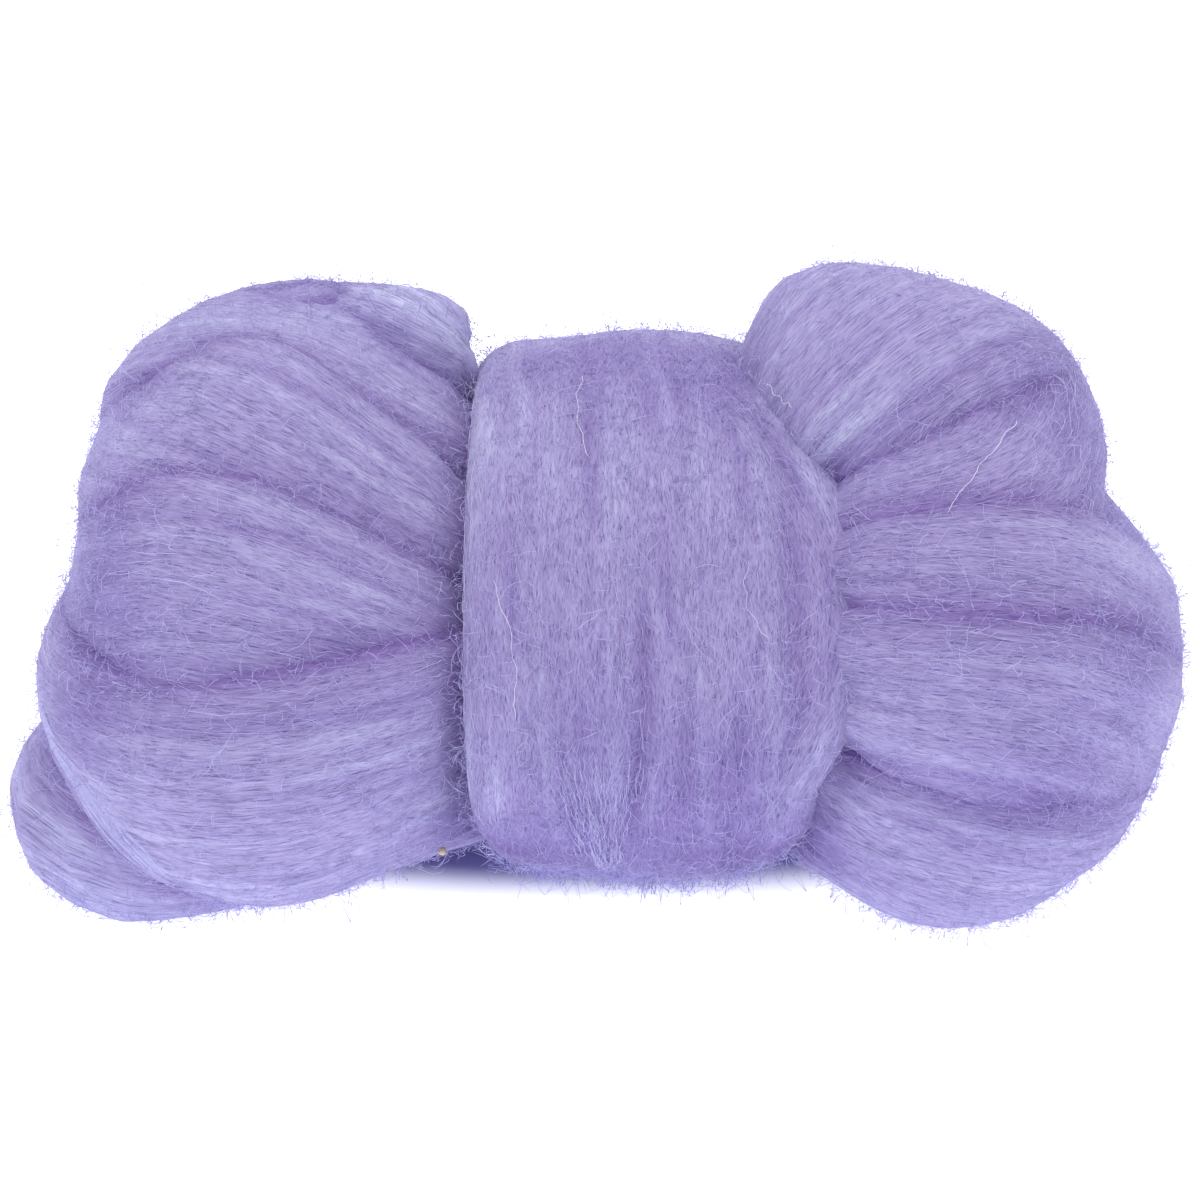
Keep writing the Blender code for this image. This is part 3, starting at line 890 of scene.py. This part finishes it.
def wool_material():
    """Combed wool: streaks along the fibres at three sizes, with painted shade in the creases
    and painted light and shade from the patches.
    """
    mat, shader = principled("wool", (0.4, 0.35, 0.65), 0.9, 0.25)
    tree = mat.node_tree
    new, link = tree.nodes.new, tree.links.new
    uv = new("ShaderNodeUVMap")
    uv.uv_map = "fibre_lie"
    split = new("ShaderNodeSeparateXYZ")
    link(uv.outputs["UV"], split.inputs[0])

    def calc(kind, *values):
        """A sum of nodes' outputs and plain numbers."""
        node = new("ShaderNodeMath")
        node.operation = kind
        for value, socket in zip(values, node.inputs):
            if isinstance(value, float):
                socket.default_value = value
            else:
                link(value, socket)
        return node.outputs[0]

    def streaks(s, bend):
        """Noise with stretched cells."""
        slid = calc("MULTIPLY_ADD", split.outputs["X"], s.lean, split.outputs["Y"])
        parts = new("ShaderNodeCombineXYZ")
        link(calc("DIVIDE", split.outputs["X"], s.along), parts.inputs["X"])
        link(calc("DIVIDE", slid, s.across), parts.inputs["Y"])
        parts.inputs["Z"].default_value = s.slice
        tex = new("ShaderNodeTexNoise")
        tex.inputs["Scale"].default_value = 1.0
        tex.inputs["Detail"].default_value = s.detail
        tex.inputs["Roughness"].default_value = 0.6
        tex.inputs["Distortion"].default_value = bend
        link(parts.outputs[0], tex.inputs["Vector"])
        return tex.outputs["Fac"]

    def span(value, **ends):
        """The value mapped from one range to another."""
        node = new("ShaderNodeMapRange")
        for end, number in ends.items():
            node.inputs[end.replace("_", " ").title()].default_value = number
        link(value, node.inputs["Value"])
        return node.outputs[0]

    def ramp(value, stops):
        """Colours at places from 0 to 1."""
        node = new("ShaderNodeValToRGB")
        node.color_ramp.interpolation = "EASE"
        while len(node.color_ramp.elements) < len(stops):
            node.color_ramp.elements.new(0.5)
        for element, (place, colour) in zip(node.color_ramp.elements, stops):
            element.position = place
            element.color = (*colour, 1.0)
        link(value, node.inputs[0])
        return node.outputs[0]

    def mix(kind, share, a, b):
        """Two colours mixed."""
        node = new("ShaderNodeMix")
        node.data_type = "RGBA"
        node.blend_type = kind
        if isinstance(share, float):
            node.inputs["Factor"].default_value = share
        else:
            link(share, node.inputs["Factor"])
        for value, socket in ((a, node.inputs[6]), (b, node.inputs[7])):
            if isinstance(value, tuple):
                socket.default_value = (*value, 1.0)
            else:
                link(value, socket)
        return node.outputs[2]

    def threads(s, width):
        """Thin wandering lines where stretched noise crosses its middle value."""
        off = calc("ABSOLUTE", calc("SUBTRACT", streaks(s, THREAD_BEND), 0.5))
        return span(off, from_max=width, to_min=1.0, to_max=0.0)

    bunch = streaks(BUNCH, STREAK_BEND)
    fleck = calc("MULTIPLY", 0.5, calc("ADD", *(streaks(s, STREAK_BEND) for s in FLECKS)))
    lines = [threads(s, width) for s, width in THREADS]
    thread = calc("MAXIMUM", calc("MAXIMUM", lines[0], lines[1]), lines[2])
    tone = ramp(streaks(CLUMP, STREAK_BEND), CLUMP_TONES)
    colour = mix("MULTIPLY", 1.0, tone, ramp(bunch, BUNCH_TONES))
    colour = mix("MULTIPLY", 1.0, colour, ramp(fleck, FLECK_TONES))
    colour = mix("MIX", calc("MULTIPLY", thread, THREAD_SHARE), colour,
                 mix("MULTIPLY", 1.0, tone, THREAD_TONE))
    # Painted light and shade from the patches
    light_and_shade = new("ShaderNodeAttribute")
    light_and_shade.attribute_name = "tone"
    middle = calc("MULTIPLY_ADD", light_and_shade.outputs["Fac"], 0.5, 0.5)
    colour = mix("MULTIPLY", 1.0, colour, ramp(middle, LIGHT_AND_SHADE_TONES))
    # Painted shade in the creases
    depth = new("ShaderNodeAttribute")
    depth.attribute_name = "crease"
    shade = span(depth.outputs["Fac"], from_min=CREASE_SHADE_START)
    colour = mix("MULTIPLY", shade, colour, CREASE_SHADE)
    link(colour, shader.inputs["Base Color"])
    link(span(bunch, to_min=WOOL_ROUGH[0], to_max=WOOL_ROUGH[1]), shader.inputs["Roughness"])
    bump = new("ShaderNodeBump")
    bump.inputs["Strength"].default_value = BUMP_STRENGTH
    bump.inputs["Distance"].default_value = BUMP_HEIGHT
    relief = calc("ADD", calc("ADD", calc("MULTIPLY", fleck, 0.5), bunch),
                  calc("MULTIPLY", thread, 0.25))
    link(relief, bump.inputs["Height"])
    link(bump.outputs["Normal"], shader.inputs["Normal"])
    return mat


# The bundle

folds = [fold_strand(f) for f in FOLDS]
turns = [turn_strand(t) for t in TURNS]
cores = [core_strand(-1), core_strand(1)]
skins = [Skin(s, 100 + 13 * k) for k, s in enumerate(folds + turns + cores)]
for skin in skins:
    strand = skin.strand
    if strand.closed:
        skin.settle([t for t in turns if t is not strand], folds)
    else:
        side = strand.name.replace("core_", "")[0]
        skin.settle([f for f in folds if f is not strand and f.name[0] == side], turns)

wool = wool_material()
for skin in skins:
    skin_object(skin, wool)
by_name = {skin.strand.name: skin for skin in skins}
for k, coat in enumerate(COATS):
    coat_object(skins, coat, k, hair_material(coat.name, coat.tint))
for k, loose in enumerate(LOOSE):
    loose_object(loose, skins, LOOSE_SEED + k, hair_material(loose.name, loose.tint))
lock_mat = hair_material("lock", LOCK_TINT)
for lock in LOCKS:
    lock_object(by_name[lock.strand], lock, lock_mat)
kemp_object(by_name, hair_material("kemp", KEMP_TINT, 0.8))
seed_object(by_name[SEED_PLACE[0]], hair_material("seed", SEED_TINT, 0.7))

# Setting

FLOOR_COLOUR = (0.90, 0.93, 0.98)
# Painted shadow: the floor's colour under the bundle
FLOOR_SHADOW = (0.40, 0.38, 0.76)        # under the bundle, where only its own light falls
FLOOR_LIGHT = (0.90, 0.93, 1.0)
FLOOR_GLOW = 1.00           # the floor lights itself but for the oval under the bundle
FLOOR_HALF = 4.0
GLOW_OVAL = (0.150, 0.043)  # half length and half depth of that oval, metres
GLOW_START = 0.66           # share of the oval's size at which the floor starts to glow
WORLD_COLOUR = (0.93, 0.95, 1.0)
WORLD_STRENGTH = 0.98
KEY_PLACE, KEY_AIM = (-0.05, 0.15, 1.2), (0.0, 0.0, 0.05)
KEY_SIZE = (1.2, 0.9)
KEY_POWER = 9.0
KEY_COLOUR = (1.0, 0.99, 0.97)


def floor_material():
    """A white floor that glows round the bundle, with a painted shadow of deeper blue under it.
    """
    mat, shader = principled("floor", FLOOR_COLOUR, 0.8)
    shader.inputs["Emission Color"].default_value = (*FLOOR_LIGHT, 1.0)
    new, link = mat.node_tree.nodes.new, mat.node_tree.links.new
    oval = new("ShaderNodeVectorMath")
    oval.operation = "DIVIDE"
    oval.inputs[1].default_value = (*GLOW_OVAL, 1.0)
    link(new("ShaderNodeTexCoord").outputs["Object"], oval.inputs[0])
    reach = new("ShaderNodeVectorMath")
    reach.operation = "LENGTH"
    link(oval.outputs[0], reach.inputs[0])
    glow = new("ShaderNodeMapRange")
    glow.interpolation_type = "SMOOTHSTEP"
    glow.inputs["From Min"].default_value = GLOW_START
    glow.inputs["To Max"].default_value = FLOOR_GLOW
    link(reach.outputs["Value"], glow.inputs["Value"])
    link(glow.outputs[0], shader.inputs["Emission Strength"])
    under = new("ShaderNodeMix")
    under.data_type = "RGBA"
    under.inputs[6].default_value = (*FLOOR_SHADOW, 1.0)
    under.inputs[7].default_value = (*FLOOR_COLOUR, 1.0)
    link(glow.outputs[0], under.inputs["Factor"])
    link(under.outputs[2], shader.inputs["Base Color"])
    return mat


mesh_object("floor", [(-FLOOR_HALF, -FLOOR_HALF, 0), (FLOOR_HALF, -FLOOR_HALF, 0),
                               (FLOOR_HALF, FLOOR_HALF, 0), (-FLOOR_HALF, FLOOR_HALF, 0)],
                     [(0, 1, 2, 3)], floor_material(), False)

world = bpy.data.worlds.new("soft_white")
world.use_nodes = True
background = world.node_tree.nodes["Background"]
background.inputs["Color"].default_value = (*WORLD_COLOUR, 1.0)
background.inputs["Strength"].default_value = WORLD_STRENGTH
bpy.context.scene.world = world

key_data = bpy.data.lights.new("key", "AREA")
key_data.shape = "RECTANGLE"
key_data.size, key_data.size_y = KEY_SIZE
key_data.energy = KEY_POWER
key_data.color = KEY_COLOUR
key = bpy.data.objects.new("key", key_data)
key.location = KEY_PLACE
key.rotation_euler = (Vector(KEY_AIM) - Vector(KEY_PLACE)).to_track_quat("-Z", "Y").to_euler()
bpy.context.scene.collection.objects.link(key)

# Camera, at the photo's height and angle

CAMERA_TILT = 35.0
CAMERA_REACH = 0.600
CAMERA_AIM = Vector((0.0021, -0.0003, 0.060))
LENS = 75.0
SENSOR = 36.0
camera_data = bpy.data.cameras.new("camera")
camera_data.lens = LENS
camera_data.sensor_width = SENSOR
camera = bpy.data.objects.new("camera", camera_data)
tilt = math.radians(CAMERA_TILT)
camera.location = CAMERA_AIM + CAMERA_REACH * Vector((0.0, -math.cos(tilt), math.sin(tilt)))
camera.rotation_euler = (math.pi / 2 - tilt, 0.0, 0.0)
bpy.context.scene.collection.objects.link(camera)
bpy.context.scene.camera = camera
bpy.context.scene.view_settings.view_transform = "Standard"
